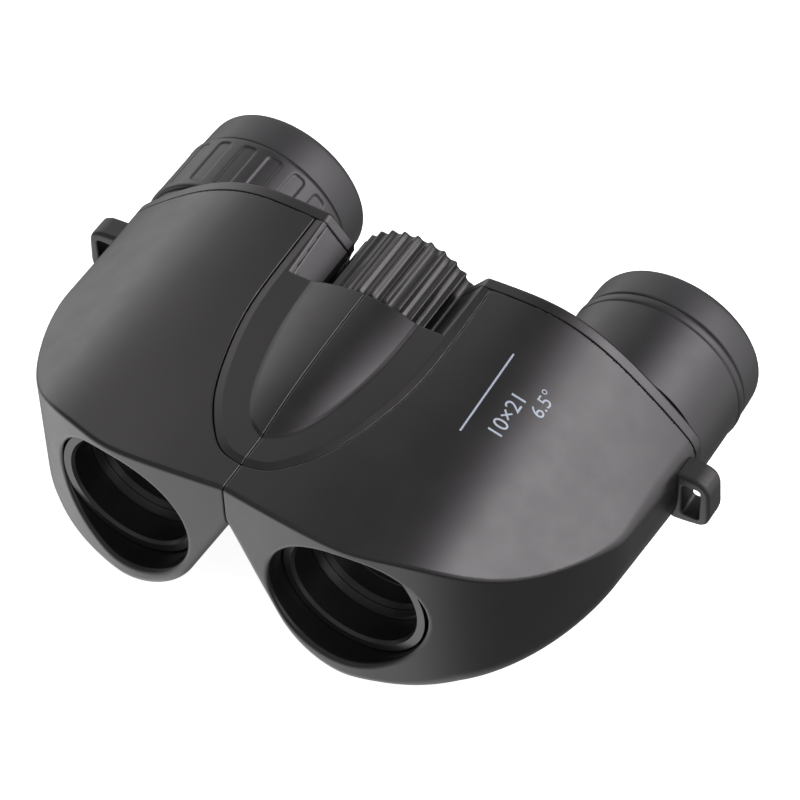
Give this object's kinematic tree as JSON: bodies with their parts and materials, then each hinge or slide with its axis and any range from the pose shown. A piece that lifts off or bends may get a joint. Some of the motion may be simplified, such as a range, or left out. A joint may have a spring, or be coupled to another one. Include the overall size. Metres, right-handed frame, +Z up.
{
  "type": "binoculars",
  "caption": "Compact reverse-Porro binoculars with folding centre hinge, ribbed focus wheel, dioptre ring, rubber eyecups and strap lugs.",
  "frame": {"origin": "centre of the base of the bounding box, with the two halves opened fully", "axes": "+X towards the user's left, +Y towards the eyepieces along the optical axes, +Z up"},
  "size_m": [0.1154, 0.0774, 0.0401],
  "materials": {
    "casing": "satin dark grey",
    "cover": "satin dark grey",
    "wheel": "semi-gloss black",
    "rubber": "matte black",
    "lug": "matte black",
    "inner_black": "matte black",
    "inner_metal": "black anodised",
    "steel": "satin",
    "brass": "satin",
    "glass": "clear",
    "coated_glass": "coated"
  },
  "bodies": {
    "left_half": {"casing_left": "casing", "rear_cover_left": "casing", "hinge_cover_left": "cover", "prism_rear_left": "glass", "prism_front_left": "glass", "prism_bracket_left": "inner_black", "bracket_screws_left": "steel", "cover_screws_left": "steel", "strap_lug_left": "lug", "eyepiece_cell_left": "inner_black", "field_stop_left": "inner_metal", "field_lens_left": "glass", "eye_lens_left": "coated_glass", "eyecup_left": "rubber", "eyepiece_barrel_left": "casing", "hinge_tube": "steel", "hinge_cap": "inner_black", "thrust_washer": "brass", "wheel_clip": "steel"},
    "right_half": {"casing_right": "casing", "rear_cover_right": "casing", "hinge_cover_right": "cover", "prism_rear_right": "glass", "prism_front_right": "glass", "prism_bracket_right": "inner_black", "bracket_screws_right": "steel", "cover_screws_right": "steel", "strap_lug_right": "lug", "eyepiece_sleeve_right": "casing"},
    "wheel": {"wheel_hub": "inner_metal", "focus_wheel": "wheel"},
    "carriage": {"focus_rod": "brass", "drive_pin": "steel", "focus_collar": "inner_metal"},
    "left_objective": {"objective_cell_left": "inner_black", "objective_ring_left": "inner_metal", "objective_lens_left": "coated_glass", "focus_arm_left": "inner_metal"},
    "right_objective": {"objective_cell_right": "inner_black", "objective_ring_right": "inner_metal", "objective_lens_right": "coated_glass", "focus_arm_right": "inner_metal"},
    "dioptre": {"dioptre_ring_right": "casing", "dioptre_pin_right": "steel"},
    "right_eyepiece": {"eyepiece_cell_right": "inner_black", "field_stop_right": "inner_metal", "field_lens_right": "glass", "eye_lens_right": "coated_glass", "eyecup_right": "rubber"}
  },
  "joints": [
    {"name": "hinge_fold", "type": "hinge", "parent": "left_half", "child": "right_half", "pos_m": [0, -0.01064, 0.02713], "axis": [0, -1, 0], "range_deg": [0, 50]},
    {"name": "focus_turn", "type": "hinge", "parent": "left_half", "child": "wheel", "pos_m": [0, 0.01235, 0.02713], "axis": [0, 1, 0], "range_deg": [-72, 234]},
    {"name": "carriage_slide", "type": "slide", "parent": "left_half", "child": "carriage", "axis": [0, -1, 0], "range_m": [-0.0008, 0.0026]},
    {"name": "left_objective_slide", "type": "slide", "parent": "left_half", "child": "left_objective", "axis": [0, -1, 0], "range_m": [-0.0008, 0.0026]},
    {"name": "right_objective_slide", "type": "slide", "parent": "right_half", "child": "right_objective", "axis": [0, -1, 0], "range_m": [-0.0008, 0.0026]},
    {"name": "dioptre_turn", "type": "hinge", "parent": "right_half", "child": "dioptre", "pos_m": [-0.03678, 0.02436, 0.0156], "axis": [0, 1, 0], "range_deg": [-60, 60]},
    {"name": "right_eyepiece_slide", "type": "slide", "parent": "right_half", "child": "right_eyepiece", "axis": [0, 1, 0], "range_m": [-0.0009, 0.0009]}
  ],
  "couplings": [
    {"joint": "carriage_slide", "follows": "focus_turn", "m_per_rad": 0.00063662},
    {"joint": "left_objective_slide", "follows": "focus_turn", "m_per_rad": 0.00063662},
    {"joint": "right_objective_slide", "follows": "focus_turn", "m_per_rad": 0.00063662},
    {"joint": "right_eyepiece_slide", "follows": "dioptre_turn", "m_per_rad": 0.00085944}
  ]
}
